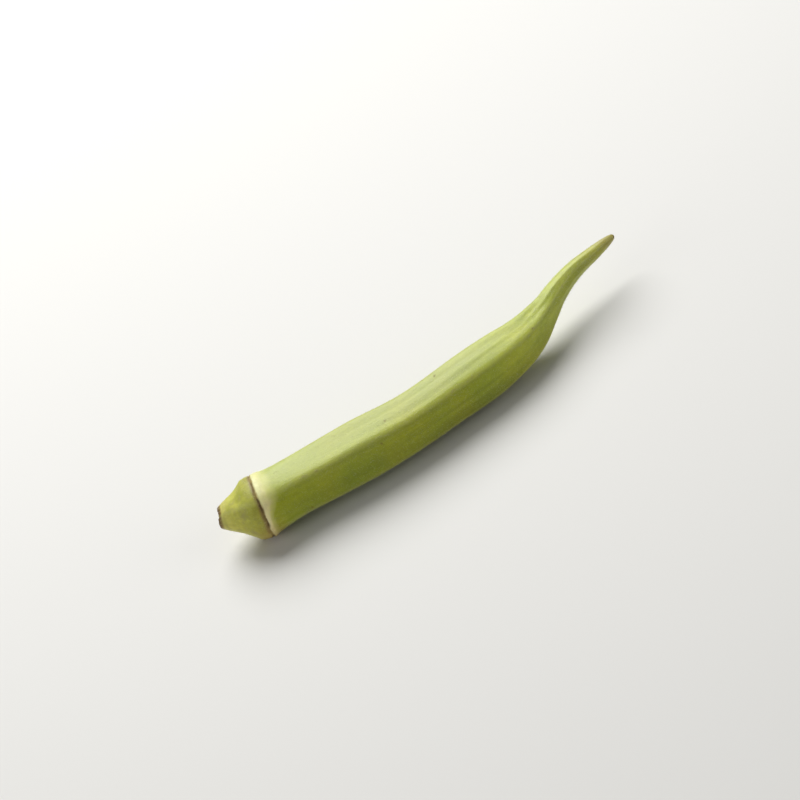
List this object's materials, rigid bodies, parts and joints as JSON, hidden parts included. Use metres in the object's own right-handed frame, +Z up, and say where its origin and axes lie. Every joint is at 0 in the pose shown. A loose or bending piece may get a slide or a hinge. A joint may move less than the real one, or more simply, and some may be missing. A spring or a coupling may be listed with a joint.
{
  "type": "okra pod",
  "caption": "Okra pod lying on its side: cut stalk, cone-shaped cap, collar ring, ribbed body and a bent, tapering beak.",
  "frame": {"origin": "on the surface that the pod lies on, under the middle of its box", "axes": "+X along the pod from the cut stalk to the beak's tip, +Y the way the beak bends, +Z up from the surface"},
  "size_m": [0.1418, 0.0316, 0.0192],
  "materials": {
    "okra_skin": "satin, finely haired plant skin"
  },
  "bodies": {
    "root": {"okra_pod": "okra_skin"}
  },
  "joints": []
}
